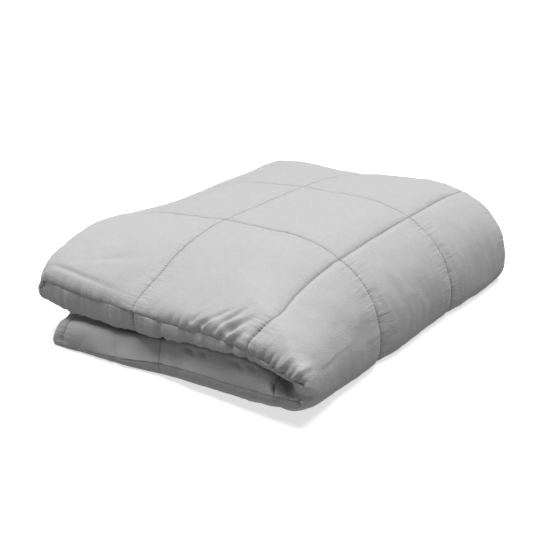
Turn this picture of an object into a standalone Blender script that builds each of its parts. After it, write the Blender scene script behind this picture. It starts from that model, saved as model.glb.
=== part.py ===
"""A quilted weighted blanket, folded in half twice, resting flat.

The cloth is five squares wide and six long, with a plain border. It is folded first along its
middle cross seam, which becomes the front edge, and then across the middle of its centre column,
which becomes the round right side. Four layers lie on one another, open at the left and the back.

Places on the cloth are given in squares: "across" runs 0 to 5 from the upper left end, over the
top, round the right side and back along the bottom; "along" runs 0 to 6 from the outer back hem
to the front edge at 3 and on to the inner back hem. Heights and distances in the tables are in
squares too, with x from the first cross seam of the top, y from the front edge and z from below.
"""

import bpy
import numpy as np

PITCH = 0.200  # metres from seam to seam, one quilted square
COLUMNS = 5
ROWS = 6
FRONT = 3.0  # the cross seam that lies on the front edge
BORDER = 0.10  # plain border outside the outermost seams, in squares

LAYER_GAP = 0.014  # air between two layers lying on each other, in squares
HEM_SHARE = 0.17  # thickness of the flat border as a share of a filled layer
ROLLED_SHARE = 0.45  # the same where the border bends round the front edge
FILL_RISE = 0.22  # distance over which a layer fills out from its border seam
CROWN = 0.032  # how far the middle of a square stands above its seams

LEFT_SLOPE = 0.09  # fall of the top towards its left end, for each square
LEFT_END = 0.70  # where the top starts to round off at its left end
LEFT_FALL = 0.06  # how far it falls there
FOLD_LEAN = 2.15  # roundness of the upper half of the right side, 2 is an ellipse
TURN_REACH = 0.30  # how far from the front edge the right side stays a tight turn

# The front seam of the upper pair of layers, left to right.
UPPER_FRONT = {
    "x": (-1.05, -0.87, -0.45, 0.0, 0.45, 0.75, 0.93, 1.07, 1.21, 1.33),
    "y": (0.05, 0.0, 0.0, 0.0, -0.02, -0.03, -0.03, -0.03, -0.03, -0.02),
    "z": (0.39, 0.415, 0.40, 0.388, 0.405, 0.42, 0.40, 0.376, 0.33, 0.285),
}
# The front seam of the lower pair of layers, left to right.
LOWER_FRONT = {
    "x": (-0.85, -0.65, -0.40, -0.05, 0.20, 0.50, 0.83, 1.10, 1.25, 1.33),
    "y": (-0.03, -0.08, -0.09, -0.04, -0.02, -0.03, -0.03, -0.03, -0.03, -0.02),
    "z": (0.05, 0.05, 0.052, 0.068, 0.10, 0.138, 0.149, 0.166, 0.178, 0.20),
}
# The lowest line of the upper pair just behind its front seam, left to right.
UPPER_LIP = {
    "x": (-1.05, -0.94, -0.80, -0.57, -0.30, 0.0, 0.30, 0.55, 0.80, 0.93, 1.03, 1.10, 1.20, 1.33),
    "z": (0.34, 0.315, 0.277, 0.245, 0.248, 0.262, 0.281, 0.30, 0.319, 0.318, 0.29, 0.268, 0.25, 0.245),
}
# How far back from its front seam the bottom layer reaches the ground, left to right.
HEEL = {
    "x": (-0.85, 0.20, 0.66, 1.08, 1.25),
    "back": (0.07, 0.09, 0.17, 0.23, 0.30),
}
# The outermost layer, by distance from the front edge.
OUTER_LAYER = {
    "back": (0.0, 0.1, 0.3, 1.0, 1.5, 2.0, 2.6, 3.1),
    "top": (0.745, 0.747, 0.752, 0.772, 0.788, 0.795, 0.782, 0.725),
    "tip": (1.325, 1.335, 1.31, 1.29, 1.305, 1.325, 1.335, 1.345),
    "foot": (1.17, 1.17, 1.17, 1.20, 1.22, 1.235, 1.235, 1.235),
}
INNER_TIP = 0.98  # right-hand reach of the innermost layer, well behind the front edge
TURN_ROOM = 0.05  # air inside the turn of the innermost layer
INNER_TOP = 0.385  # height of the middle of the pile, where the inner layers meet


def through(at, knots, values):
    """A smooth curve through a short table: cubic pieces whose slopes average their neighbours."""
    knots = np.asarray(knots)
    values = np.asarray(values)
    at = np.asarray(at, float)
    slopes = np.gradient(values, knots)
    left = np.clip(np.searchsorted(knots, at) - 1, 0, len(knots) - 2)
    span = knots[left + 1] - knots[left]
    t = np.clip((at - knots[left]) / span, 0.0, 1.0)
    rise = slopes[left] * span * t * (1 - t) ** 2 - slopes[left + 1] * span * t * t * (1 - t)
    return values[left] * (1 + 2 * t) * (1 - t) ** 2 + values[left + 1] * t * t * (3 - 2 * t) + rise


def arch(t, power):
    """Quarter of a superellipse: 1 up to t = 0, then down to 0 at t = 1."""
    return (1 - np.clip(t, 0.0, 1.0) ** power) ** (1 / power)


def outer_depth(back):
    """y of the outer layer, a little slower near the front, where the cloth also climbs."""
    near = 0.965 * (back - 0.2 * back * (1 - back))
    return np.where(back < 1, near, 0.965 + 0.99 * (back - 1))


def inner_depth(back):
    """y of the inner layer, which first runs down behind the front seam."""
    return 0.985 * back - 0.1 * (1 - np.exp(-back / 0.1))


def climb(x, back):
    """Share of the full height that the top has reached, 0 at the front seam and 1 a square back.

    The left square is plumper at its front than the others.
    """
    plump = np.clip(-x / 0.9, 0.0, 1.0)
    left_over = 1 - np.clip(outer_depth(back) / 0.965, 0.0, 1.0)
    return (1 - left_over ** (1.8 + 1.2 * plump)) ** (0.85 - 0.1 * plump)


def outer_tip(back):
    return through(back, OUTER_LAYER["back"], OUTER_LAYER["tip"])


def inner_tip(back):
    return INNER_TIP + 0.345 * np.exp(-back / 0.15)


def outer_height(x, back, below):
    """z of the outer layer's outer face: a plateau, the round right side and the flat bottom."""
    turn = np.exp(-((back / TURN_REACH) ** 2))
    tip = outer_tip(back)
    middle = 0.12 + 0.125 * turn
    if below:
        heel = through(x, HEEL["x"], HEEL["back"])
        lift = 1 - arch(1 - np.clip(back / heel, 0.0, 1.0), 2.0)
        ground = through(x, LOWER_FRONT["x"], LOWER_FRONT["z"]) * lift
        start = through(back, OUTER_LAYER["back"], OUTER_LAYER["foot"])
        return middle - (middle - ground) * arch((x - start) / (tip - start), 2.0)
    seam = through(x, UPPER_FRONT["x"], UPPER_FRONT["z"])
    share = climb(x, back)
    top = seam + (through(back, OUTER_LAYER["back"], OUTER_LAYER["top"]) - seam) * share
    beyond = np.clip((-LEFT_END - x) / (1.03 - LEFT_END), 0.0, 1.2)
    top = top - share * (LEFT_SLOPE * np.clip(-x, 0.0, None) + LEFT_FALL * beyond**3)
    start = 0.5 + 0.72 * turn
    return middle + (top - middle) * arch((x - start) / (tip - start), FOLD_LEAN)


def inner_height(x, back, below):
    """z of the inner layer's outer face: the upper pair's underside, a tight turn, the lower top."""
    seam = through(x, UPPER_FRONT["x"], UPPER_FRONT["z"])
    lip = through(x, UPPER_LIP["x"], UPPER_LIP["z"])
    down = 1 - np.exp(-back / 0.06)
    rise = 1 - np.exp(-((back / 0.55) ** 2))
    under = seam - (seam - lip) * down + (INNER_TOP - lip) * rise
    mouth = seam - through(x, LOWER_FRONT["x"], LOWER_FRONT["z"]) - LAYER_GAP
    tip = inner_tip(back)
    room = TURN_ROOM * (1 - np.exp(-((back / 0.25) ** 2))) * np.exp(-(((tip - x) / 0.16) ** 2))
    gap = LAYER_GAP + mouth * np.exp(-back / 0.12) + room
    start = tip - np.clip(gap / 2, 0.03, 0.12)
    share = arch((x - start) / (tip - start), 2.0)
    return under - gap * (0.5 + 0.5 * share if below else 0.5 - 0.5 * share)


def seam_places(back, outer):
    """x of the hem and of seams 0, 1 and 2 on the upper run, and of 3, 4, 5 and the hem below."""
    deep = 1 - np.exp(-((back / 0.6) ** 3))
    flat = np.zeros_like(back)
    if outer:
        upper = (-0.97 - 0.06 * deep, -0.89 - 0.05 * deep, flat, flat + 0.94)
        lower = (1.10 - 0.05 * deep, flat + 0.18, -0.64 - 0.07 * deep, -0.75 - 0.07 * deep)
    else:
        upper = (-0.97 - 0.08 * deep, -0.89 - 0.06 * deep, -0.08 * deep, 0.94 - 0.2 * deep)
        lower = (1.10 - 0.26 * deep, 0.18 - 0.24 * deep, -0.64 - 0.12 * deep, -0.75 - 0.11 * deep)
    return np.stack(upper, axis=1), np.stack(lower, axis=1)


def by_rows(at, knots, values):
    """Linear interpolation with a different table for each row."""
    return np.stack([np.interp(at, knots, row) for row in values])


def along_rows(share, curves):
    """Points at even shares of each row's own length."""
    steps = np.linalg.norm(np.diff(curves, axis=1), axis=2)
    reached = np.concatenate([np.zeros((len(curves), 1)), np.cumsum(steps, axis=1)], axis=1)
    rows = zip(reached / reached[:, -1:], curves)
    return np.stack([np.stack([np.interp(share, r, c[:, k]) for k in range(3)], 1) for r, c in rows])


def layer(across, back, outer):
    """Points of one layer's outer face, a row for each distance from the front edge."""
    column = back[:, None]
    height = outer_height if outer else inner_height
    depth = outer_depth(column) if outer else inner_depth(column)
    tips = outer_tip(back) if outer else inner_tip(back)
    fade = np.exp(-((column / 0.6) ** 2))

    def run(x, below):
        front = LOWER_FRONT if below else UPPER_FRONT
        y = depth + fade * through(x, front["x"], front["y"])
        return np.stack([x, y, height(x, column, below)], axis=2)

    upper, lower = seam_places(back, outer)
    top = run(by_rows(across, (-BORDER, 0, 1, 2), upper), False)
    bottom = run(by_rows(across, (3, 4, 5, 5 + BORDER), lower), True)
    swing = np.sin(np.linspace(0.0, np.pi / 2, 80))
    over = run(upper[:, 3:] + (tips[:, None] - upper[:, 3:]) * swing, False)
    under = run(lower[:, :1] + (tips[:, None] - lower[:, :1]) * swing, True)
    side = along_rows(np.clip(across - 2, 0, 1), np.concatenate([over, under[:, -2::-1]], axis=1))
    where = across[None, :, None]
    return np.where(where <= 2, top, np.where(where >= 3, bottom, side))


def swell(places, count):
    """0 on each seam and 1 across most of the square between two seams."""
    inside = np.clip(places, 0.0, count)
    to_seam = np.abs(inside - np.round(inside))
    return 1 - np.abs(1 - 2 * to_seam) ** 4


def crowned(points, across, back, outside):
    """The squares puffed out along the face's normal, less where the cloth is pressed or hidden."""
    normal = np.cross(np.gradient(points, axis=0), np.gradient(points, axis=1))
    normal /= np.linalg.norm(normal, axis=2, keepdims=True)
    size = swell(across, COLUMNS)[None, :] * swell(back, FRONT)[:, None]
    off_ground = np.clip(points[:, :, 2] / 0.1, 0.0, 1.0)
    in_view = np.exp(-((back / 0.16) ** 2))[:, None]
    rise = CROWN * size * np.where(outside, off_ground, in_view)
    return points + normal * rise[:, :, None]


def filled(distance, flat):
    """Share of the full thickness at this distance from the hem: flat border, then filling out."""
    inward = np.clip((distance - BORDER) / FILL_RISE, 0.0, 1.0)
    return flat + (1 - flat) * (1 - (1 - inward) ** 2.5)


def faces_of_cloth(across, along):
    """The cloth's outer face and its face inside the fold, as two grids of points."""
    back = np.abs(along - FRONT)
    outside = (along <= FRONT)[:, None]
    shell = np.where(outside[..., None], layer(across, back, True), layer(across, back, False))
    shell = crowned(shell, across, back, outside)
    inset = np.hypot(back, 0.06)
    middle = (layer(across, inset, True) + layer(across, inset, False)) / 2
    spread = layer(across, inset, True) - layer(across, inset, False)
    spread /= np.linalg.norm(spread, axis=2, keepdims=True)
    half = LAYER_GAP / 2 * (1 - np.exp(-back / 0.05))[:, None, None]
    lining = middle + spread * half * np.where(outside, 1, -1)[..., None]

    to_side_hem = np.minimum(across + BORDER, COLUMNS + BORDER - across)[None, :]
    to_back_hem = (FRONT + BORDER - back)[:, None]
    rolled = HEM_SHARE + (ROLLED_SHARE - HEM_SHARE) * np.exp(-((back / 0.3) ** 2))[:, None]
    thick = (filled(to_side_hem, rolled) * filled(to_back_hem, HEM_SHARE))[:, :, None]
    settle = 1 - np.exp(-back / 0.15)
    below = np.clip(across - 1.6, 0.0, 1.0)[None, :]
    lean = np.where(outside, 0.5 + 0.5 * below, 0.7 - 0.5 * below)
    lean = (0.5 + (lean - 0.5) * settle[:, None])[:, :, None]
    heart = shell * lean + lining * (1 - lean)
    return heart + (shell - heart) * thick, heart + (lining - heart) * thick


def rings(count, steps):
    """Places of the grid lines: these steps in each square, with the hems added."""
    squares = np.concatenate([square + np.asarray(steps) for square in range(count)])
    return np.concatenate([[-BORDER], squares, [count, count + BORDER]])


def cloth_mesh(across, along):
    """One closed mesh: both faces, joined by a strip of quads round the hem."""
    shell, lining = faces_of_cloth(across, along)
    rows, columns = shell.shape[:2]
    points = np.concatenate([shell.reshape(-1, 3), lining.reshape(-1, 3)]) * PITCH
    index = np.arange(rows * columns).reshape(rows, columns)
    cells = np.stack([index[:-1, :-1], index[:-1, 1:], index[1:, 1:], index[1:, :-1]], axis=2)
    cells = cells.reshape(-1, 4)
    rim = np.concatenate([index[0, :-1], index[:-1, -1], index[-1, :0:-1], index[:0:-1, 0]])
    after = np.roll(rim, -1)
    offset = rows * columns
    strip = np.stack([rim, after, after + offset, rim + offset], axis=1)
    quads = np.concatenate([cells[:, ::-1], cells + offset, strip])
    middle = (points.min(axis=0) + points.max(axis=0)) / 2
    points -= (middle[0], middle[1], points[:, 2].min())
    mesh = bpy.data.meshes.new("weighted_blanket")
    mesh.from_pydata(points.tolist(), [], quads.tolist())
    mesh.validate()
    return mesh


def cotton():
    """Light grey plain-weave cotton, matt."""
    material = bpy.data.materials.new("grey_cotton")
    material.use_nodes = True
    shader = material.node_tree.nodes["Principled BSDF"]
    shader.inputs["Base Color"].default_value = (0.47, 0.47, 0.475, 1.0)
    shader.inputs["Roughness"].default_value = 0.9
    shader.inputs["Metallic"].default_value = 0.0
    return material


def weighted_blanket():
    across = np.sort(np.unique(np.concatenate([
        rings(COLUMNS, (0.0, 0.07, 0.2, 0.4, 0.6, 0.8, 0.93)),
        np.linspace(2.0, 3.0, 17),
    ]).round(4)))
    along = np.sort(np.unique(np.concatenate([
        rings(ROWS, (0.0, 0.07, 0.25, 0.5, 0.75, 0.93)),
        FRONT + np.array([-0.4, -0.16, -0.11, -0.03, 0.03, 0.11, 0.16, 0.4]),
    ]).round(4)))
    mesh = cloth_mesh(across, along)
    mesh.shade_smooth()
    mesh.materials.append(cotton())
    blanket = bpy.data.objects.new("weighted_blanket", mesh)
    bpy.context.scene.collection.objects.link(blanket)


for old in list(bpy.data.objects):
    bpy.data.objects.remove(old)
weighted_blanket()
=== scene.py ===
"""The looks of a folded, quilted weighted blanket in light grey cotton, with its stage.

Places on the cloth are given in squares of the quilting: "across" runs 0 to 5 from the upper left
end, over the top, round the right side and back along the bottom, and "along" runs 0 to 6 from the
outer back hem to the front edge at 3 and on to the inner back hem. Heights and distances in the
tables are in squares too, with x from the first cross seam of the top, y from the front edge and z
from below. PITCH turns squares into metres.
"""

import math
from types import SimpleNamespace as Sizes

import bpy
import numpy as np
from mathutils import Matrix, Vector


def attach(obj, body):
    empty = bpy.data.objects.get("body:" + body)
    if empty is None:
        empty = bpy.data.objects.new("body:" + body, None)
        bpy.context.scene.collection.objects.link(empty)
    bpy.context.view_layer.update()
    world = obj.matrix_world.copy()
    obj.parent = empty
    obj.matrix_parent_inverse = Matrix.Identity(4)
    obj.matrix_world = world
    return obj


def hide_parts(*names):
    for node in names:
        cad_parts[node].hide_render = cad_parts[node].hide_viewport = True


bl_info = {
    "name": "Folded Weighted Blanket",
    "version": (1, 0, 0),
    "blender": (4, 5, 0),
    "location": "View3D > Sidebar > Blanket",
    "description": "Builds a folded, quilted blanket with its stitches and a plain stage",
    "category": "Add Mesh",
}

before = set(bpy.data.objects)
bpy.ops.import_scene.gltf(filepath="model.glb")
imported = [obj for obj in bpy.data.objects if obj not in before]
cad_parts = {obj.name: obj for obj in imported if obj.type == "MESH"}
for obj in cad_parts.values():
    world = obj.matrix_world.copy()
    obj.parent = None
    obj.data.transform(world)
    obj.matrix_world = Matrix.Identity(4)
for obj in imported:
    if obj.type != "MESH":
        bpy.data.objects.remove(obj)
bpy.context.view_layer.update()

PITCH = 0.200  # metres from seam to seam, one quilted square
COLUMNS = 5
ROWS = 6
TINY = 1e-6  # squares, for comparing places on the cloth
FRONT = 3.0  # the cross seam that lies on the front edge
SIDE = 2.5  # the middle of the centre column, which lies on the right side
LOWER_RUN = 3  # the column seam at which the bottom run starts
BORDER = 0.10  # plain border outside the outermost seams, in squares
ORIGIN = (0.1571, 1.4755)  # the row's origin, in squares from the first cross seam and the front edge
LAYER_GAP = 0.014  # air between two layers lying on each other

# ------------------------ sizes of the folded course

# Depth of the first square behind the front edge, what it loses on the way by climbing, and the
# depth of each square after it.
OUTER_DEPTH = Sizes(first=0.965, climbing=0.2, further=0.99)
# Depth of each square of the inner layers, less a drop behind the front seam, with the same reach.
INNER_DEPTH = Sizes(square=0.985, drop=0.17)

LEFT_SLOPE = 0.09  # fall of the top towards its left end, for each square
LEFT_ROUND = Sizes(start=0.45, width=0.4, most=1.2)  # where the top rounds off at that end
# How far it falls there, by distance from the front edge.
LEFT_FALL = {
    "back": (0.0, 0.8, 1.05, 1.5, 2.1, 2.6, 3.1),
    "fall": (0.0, 0.005, 0.04, 0.085, 0.06, 0.03, -0.04),
}
# Rise of the top's back edge over its even course, left to right, and where it starts.
BACK_EDGE = {
    "x": (-1.0, -0.6, -0.3, -0.1, 0.25, 0.6, 1.4),
    "rise": (0.005, 0.022, -0.025, -0.045, -0.03, -0.005, 0.0),
}
BACK_EDGE_FROM = 2.2
# Powers of the top's climb behind the front seam, what the plump left square and the steeper ones
# right of it change in them, and the stretches of x over which they do.
CLIMB = Sizes(run=1.8, rise=0.74, plump_run=1.2, plump_rise=-0.10, steep_rise=-0.14)
PLUMP_TO = 0.9  # leftwards from the first seam
STEEP = Sizes(start=0.1, width=0.35)

FOLD_LEAN = 2.15  # roundness of the upper half of the right side, 2 is an ellipse
FOLD_LEAN_BACK = 0.30  # how much squarer it is at the back
TURN_REACH = 0.30  # how far from the front edge the right side stays a tight turn
SIDE_MIDDLE = Sizes(height=0.12, front=0.125)  # height of its outermost line, and what the front adds
# Where its upper half starts to round off, and what the front and the front corner add to that.
UPPER_TURN = Sizes(start=0.5, front=0.72, corner=0.09, corner_reach=0.05)
LOWER_TURN = Sizes(corner=0.15, corner_reach=0.04)  # what the corner adds for its lower half

# The front seam of the upper pair of layers, left to right.
UPPER_FRONT = {
    "x": (-1.00, -0.82, -0.42, 0.0, 0.45, 0.75, 0.93, 1.07, 1.21, 1.34),
    "y": (0.0, -0.015, -0.02, 0.0, -0.02, -0.03, -0.03, -0.03, -0.03, -0.03),
    "z": (0.40, 0.415, 0.405, 0.390, 0.403, 0.415, 0.395, 0.366, 0.325, 0.288),
}
# The front seam of the lower pair of layers, left to right.
LOWER_FRONT = {
    "x": (-0.85, -0.65, -0.40, -0.05, 0.20, 0.50, 0.83, 1.10, 1.25, 1.33),
    "y": (-0.04, -0.09, -0.08, -0.05, -0.02, -0.03, -0.03, -0.03, -0.03, -0.03),
    "z": (0.008, 0.008, 0.040, 0.066, 0.098, 0.134, 0.147, 0.168, 0.186, 0.205),
}
FRONT_REACH = 0.6  # how far back the layers follow the bends of their front seams
# The lowest line of the upper pair just behind its front seam, left to right.
UPPER_LIP = {
    "x": (-1.05, -0.94, -0.80, -0.57, -0.30, 0.0, 0.30, 0.55, 0.80, 0.93, 1.03, 1.10, 1.20, 1.33),
    "z": (
        0.205, 0.22, 0.236, 0.225, 0.220, 0.225, 0.272, 0.305, 0.332, 0.336, 0.322, 0.308, 0.288,
        0.272,
    ),
}
UNDERSIDE = Sizes(down=0.05, level=0.55)  # how fast the upper pair drops to that line and levels off
# How far back from its front seam the bottom layer reaches the ground, left to right.
HEEL = {
    "x": (-0.85, -0.3, 0.20, 0.66, 1.08, 1.25),
    "back": (0.05, 0.05, 0.07, 0.27, 0.36, 0.40),
}
# The outermost layer, by distance from the front edge.
OUTER_LAYER = {
    "back": (0.0, 0.1, 0.3, 1.0, 1.5, 2.0, 2.6, 3.1),
    "top": (0.745, 0.747, 0.752, 0.772, 0.788, 0.795, 0.782, 0.725),
    "tip": (1.345, 1.34, 1.31, 1.29, 1.305, 1.33, 1.35, 1.365),
    "foot": (1.15, 1.14, 1.13, 1.22, 1.235, 1.245, 1.24, 1.24),
}
# Right-hand reach of the innermost layer well behind the front edge, and what it has more in front.
INNER_TIP = Sizes(x=0.98, front=0.365, reach=0.45)
# The innermost layer's turn: its least and greatest radius, and its tightening at the front.
INNER_TURN = Sizes(least=0.03, most=0.12, tighter=0.6, reach=0.05)
TURN_ROOM = Sizes(height=0.05, back=0.25, across=0.16)  # air inside that turn, and where it opens
INNER_TOP = 0.385  # height of the middle of the pile, where the inner layers meet

# How much further back than its front seam the lower pair's front face stands, left to right, how
# fast it gets there, and how far it moves left for that.
SET_BACK = {"x": (-0.6, 0.0, 0.4, 1.0), "back": (0.0, 0.05, 0.06, 0.03)}
SET_BACK_REACH = 0.03
SET_BACK_LEFT = 0.7
MOUTH_REACH = 0.06  # how fast the mouth between the two pairs closes behind the front edge
POCKET = Sizes(start=1.10, width=0.14, reach=0.30)  # how much deeper it is by the front corner
MOUTH_DIP = Sizes(back=0.24, depth=0.035, reach=0.08)  # hollow of the lower pair behind that mouth

# x of the hem and of seams 0, 1 and 2 on the upper run at the front edge, and of seams 3, 4, 5 and
# the hem on the lower run, and how far each has moved a square or more behind the front edge.
SEAMS_AT_FRONT = {"upper": (-0.97, -0.89, 0.0, 0.94), "lower": (1.13, 0.22, -0.60, -0.71)}
OUTER_DRIFT = {"upper": (-0.06, -0.05, 0.0, 0.0), "lower": (-0.08, 0.0, -0.11, -0.11)}
INNER_DRIFT = {"upper": (-0.08, -0.06, -0.08, -0.2), "lower": (-0.29, -0.28, -0.16, -0.15)}
DRIFT_REACH = 0.6  # how fast they do, in squares behind the front edge
# Bends of the seams near the front: the second's on the top, the one where the top's climb levels
# off, with the first seam's share of it, and the lower left end's.
SECOND_BEND = Sizes(shift=0.025, start=0.12, reach=1.2)
BROW_BEND = Sizes(shift=0.04, back=0.27, reach=0.17, first=0.5)
LOWER_BEND = Sizes(shift=0.03, start=0.05)

# The ends of each pair, where both layers round off towards each other and their hems meet: the
# place on the cloth where that starts, how far out it reaches in the notch at the front seam, at
# the front and further back, how much nearer the hems lie to the inner layer than to the outer one,
# and how far the strip under the front seam wraps round to the back there.
UPPER_END = Sizes(
    across=0.10, notch=0.03, reach=0.19, reach_back=0.17, lean=0.9, wrap=0.13
)
LOWER_END = Sizes(across=COLUMNS, notch=0.08, reach=0.11, reach_back=0.13, lean=-0.4)
END_CHANGE = Sizes(strip=0.3, top=0.15, notch=0.05)  # how far back each of these changes
LEAN_FAR = Sizes(share=0.3, reach=0.4)  # what is left of the lean far back, and how fast it gets there
WRAP = Sizes(start=0.03, reach=0.5)  # where the strip's wrap begins and how far back it goes
TOP_KEPT = Sizes(share=0.85, reach=0.08)  # how much of its thickness the top keeps at the front left
END_POWER = 2.7  # squareness of the ends, 2 is an ellipse
BACK_END = Sizes(back=2.94, reach=0.15)  # where the back ends start to round off, and their reach
HEM_THICK = 0.02  # thickness of a hem where it meets the next
HEM_FROM = 0.05  # how fast hems and lining open behind the front edge

# Near the front edge the cloth starts slowly, so that it isn't stretched there: the share of a
# square that each layer settles by, and how far back.
OUTER_SETTLE = 0.04
INNER_SETTLE = 0.08
SETTLE_REACH = 0.5
JOIN_REACH = 0.06  # how fast the inner layer leaves the outer one behind their common front edge
LINING_INSET = 0.06  # how far the face inside the fold stays behind the front edge

# ------------------------ sizes of the fine mesh

# Line spacing of the fine mesh, in squares, from each place on.
ACROSS_LINES = {
    "from": (-BORDER, 1.4, 2.8, 4.0, COLUMNS + BORDER),
    "step": (0.0135, 0.0105, 0.0255, 0.032, 0.0),
}
ALONG_LINES = {
    "from": (-BORDER, 2.70, 3.22, 3.6, ROWS + BORDER),
    "step": (0.0205, 0.010, 0.03, 0.10, 0.0),
}
SEAM_LINES = (-0.014, -0.006, 0.006, 0.014)  # extra lines beside each seam
SEAM_CLEAR = 0.021  # the other lines keep this far from a seam
HIDDEN = Sizes(across=3.5, along=5.5)  # a place under the pile, where the lines may be uneven
DROP_EVERY = 4  # of the lines nearest to it, only one in this many may be dropped
LINING_EVERY = 5  # the face inside the fold has one line for this many of the outer face
HEM_STEPS = 6  # steps round the edge of the hem
CURVE_STEPS = 200  # steps round the right side of a layer, and twice as many round an end

# ------------------------ sizes of the relief

# Smooth noise: the size of its table, its shift, and how much finer and weaker each octave is.
NOISE = Sizes(table=64, across=7.3, along=3.9, octave=0.52)
# The size of a bump across and along in squares, the seed and the number of octaves of each noise.
NOISES = {
    "ripples": (0.42, 0.42, 5, 3),
    "wrinkles": (0.13, 0.13, 60, 3),
    "wrinkled patches": (0.5, 0.5, 70, 3),
    "streaks": (0.075, 0.5, 100, 2),
    "sway of streaks": (0.3, 0.3, 95, 3),
    "streaked patches": (0.5, 0.5, 105, 3),
    "strip": (0.055, 0.6, 80, 2),
    "sway of strip": (0.2, 0.2, 90, 3),
    "cross puckers": (0.062, 0.30, 20, 2),
    "uneven cross puckers": (0.21, 1.0, 29, 1),
    "column puckers": (0.062, 0.30, 40, 2),
    "uneven column puckers": (0.21, 1.0, 49, 1),
}
LOW_FRONT = Sizes(less=0.8, reach=0.5)  # how much weaker the ripples are low in front
SOFT = 1.5  # power of a groove's fading, for its soft shoulders
# The front seam's groove is wider under the ridge, and shallower on it.
FRONT_GROOVE = Sizes(wider=2.5, shallower=0.65, reach=0.06)
# A cross seam whose left end is faint.
FAINT = Sizes(row=1, across=1.2, width=0.3, reach=0.1, less=0.6)
# Streaks down the right side: where they lie, their sway in squares, and how uneven they are.
DRAPE = Sizes(across=2.45, reach=0.5, front=0.4, sway=0.05, strength=0.7, uneven=0.5)
GATHERED = 0.45  # how far on both sides of the right side the cloth is gathered
# The bulge behind the front seam: its reach and strength at the left, what changes from there on to
# the right, where that is, and where the bulge ends. Then its strength under the ridge.
PUFF = Sizes(
    reach=1.6, strength=1.8, reach_right=-0.6, strength_right=0.6,
    right=1.1, right_width=0.35, end=2.7, end_width=0.2,
    under=0.3, under_gathered=-0.1,
)
# Small folds beside the seams: how unevenly they reach, how strong they are everywhere, on the
# front ridge and where the cloth is gathered, how much longer they are on the ridge, the share of
# strength and reach that the column seams' folds have, and how much weaker they are in a groove.
PUCKER = Sizes(
    shift=11.7, least=0.75, wander=0.5, strength=0.5, ridge=0.9, gathered=0.4,
    ridge_reach=0.3, longer=0.6, column=0.8, in_groove=0.5,
)
# Folds across the strip under the front seam: where they lie, their strength right of the side's
# middle, and their sway in squares.
STRIP = Sizes(along=0.12, reach=0.13, right=0.3, sway=0.02)
# Where the relief is weaker: below a height, deep in the fold, at the hems, at the front left corner
# and in the tight turn of the inner layer on the right side.
RELIEF_FROM = 0.04
RELIEF_IN_FOLD = 0.35
RELIEF_AT_HEM = 0.3
RELIEF_AT_TIP = Sizes(across=0.05, reach=0.05)
RELIEF_IN_TURN = Sizes(less=0.75, reach=0.5)

CREASE_START = 0.35  # share of a crease's length over which it sets in
# Single creases: from one place on the cloth to another, half width, and height in metres.
CREASES = {
    "u0": (
        1.812, 1.835, 1.850, 1.788, 1.736, 1.768, 1.765, 1.800, 1.625, 1.690, 1.660, 1.602, 1.545,
        1.890, 1.500, 1.430, 1.360, 1.873, 1.602, 1.000, 2.080, 2.150, 2.215, 2.272, 2.320, 2.365,
        2.430, 2.500, 0.140, 0.290, 0.500, 2.000, 2.032, 2.660, 2.660, 2.662, 2.700, 2.545, 2.660,
        3.735, 3.000, 3.600, 3.315, 3.180,
    ),
    "v0": (
        2.985, 2.935, 2.975, 2.990, 2.965, 2.900, 2.985, 2.900, 2.945, 2.885, 2.950, 3.000, 2.945,
        2.975, 2.990, 2.985, 2.985, 2.995, 3.000, 3.000, 2.995, 2.995, 2.995, 3.030, 2.995, 2.995,
        2.995, 2.995, 2.865, 2.790, 2.700, 3.010, 2.990, 3.005, 3.005, 2.935, 2.995, 2.990, 2.985,
        3.150, 3.150, 3.150, 3.150, 3.160,
    ),
    "u1": (
        1.862, 1.925, 1.935, 1.792, 1.775, 1.835, 1.815, 1.870, 1.700, 1.765, 1.730, 1.622, 1.592,
        1.965, 1.530, 1.460, 1.380, 1.873, 1.622, 1.005, 2.090, 2.165, 2.235, 2.275, 2.330, 2.370,
        2.426, 2.475, 0.950, 0.980, 0.900, 2.000, 2.035, 2.500, 2.820, 2.690, 2.775, 2.530, 2.660,
        3.625, 3.000, 3.560, 3.230, 3.155,
    ),
    "v1": (
        2.880, 2.780, 2.850, 2.925, 2.880, 2.745, 2.870, 2.800, 2.870, 2.780, 2.870, 2.915, 2.850,
        2.890, 2.900, 2.900, 2.910, 3.120, 3.070, 3.140, 2.920, 2.890, 2.900, 2.905, 2.900, 2.880,
        2.905, 2.930, 2.887, 2.510, 2.600, 2.760, 2.820, 3.000, 3.005, 2.840, 2.870, 2.925, 2.850,
        3.095, 3.030, 3.105, 3.080, 3.090,
    ),
    "width": (
        0.014, 0.022, 0.016, 0.010, 0.012, 0.016, 0.014, 0.016, 0.016, 0.018, 0.014, 0.012, 0.014,
        0.014, 0.014, 0.016, 0.014, 0.014, 0.012, 0.009, 0.012, 0.013, 0.012, 0.012, 0.014, 0.012,
        0.012, 0.012, 0.016, 0.025, 0.020, 0.009, 0.016, 0.045, 0.045, 0.012, 0.013, 0.012, 0.014,
        0.015, 0.012, 0.016, 0.022, 0.018,
    ),
    "height": (
        -0.0040, -0.0070, 0.0025, -0.0040, -0.0030, -0.0050, 0.0025, 0.0020, -0.0045, -0.0035, 0.0020,
        -0.0050, -0.0030, -0.0022, -0.0022, -0.0020, -0.0016, -0.0050, -0.0030, -0.0035, -0.0018,
        -0.0022, -0.0030, -0.0036, 0.0018, -0.0026, -0.0036, -0.0026, -0.0022, -0.0012, -0.0008,
        -0.0045, 0.0020, -0.0050, -0.0050, -0.0050, -0.0050, -0.0025, -0.0045, -0.0060, -0.0050,
        -0.0050, -0.0070, -0.0060,
    ),
}

# ------------------------ sizes of stitches, looks and stage

STITCH_PITCH = 0.004  # metres
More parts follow.
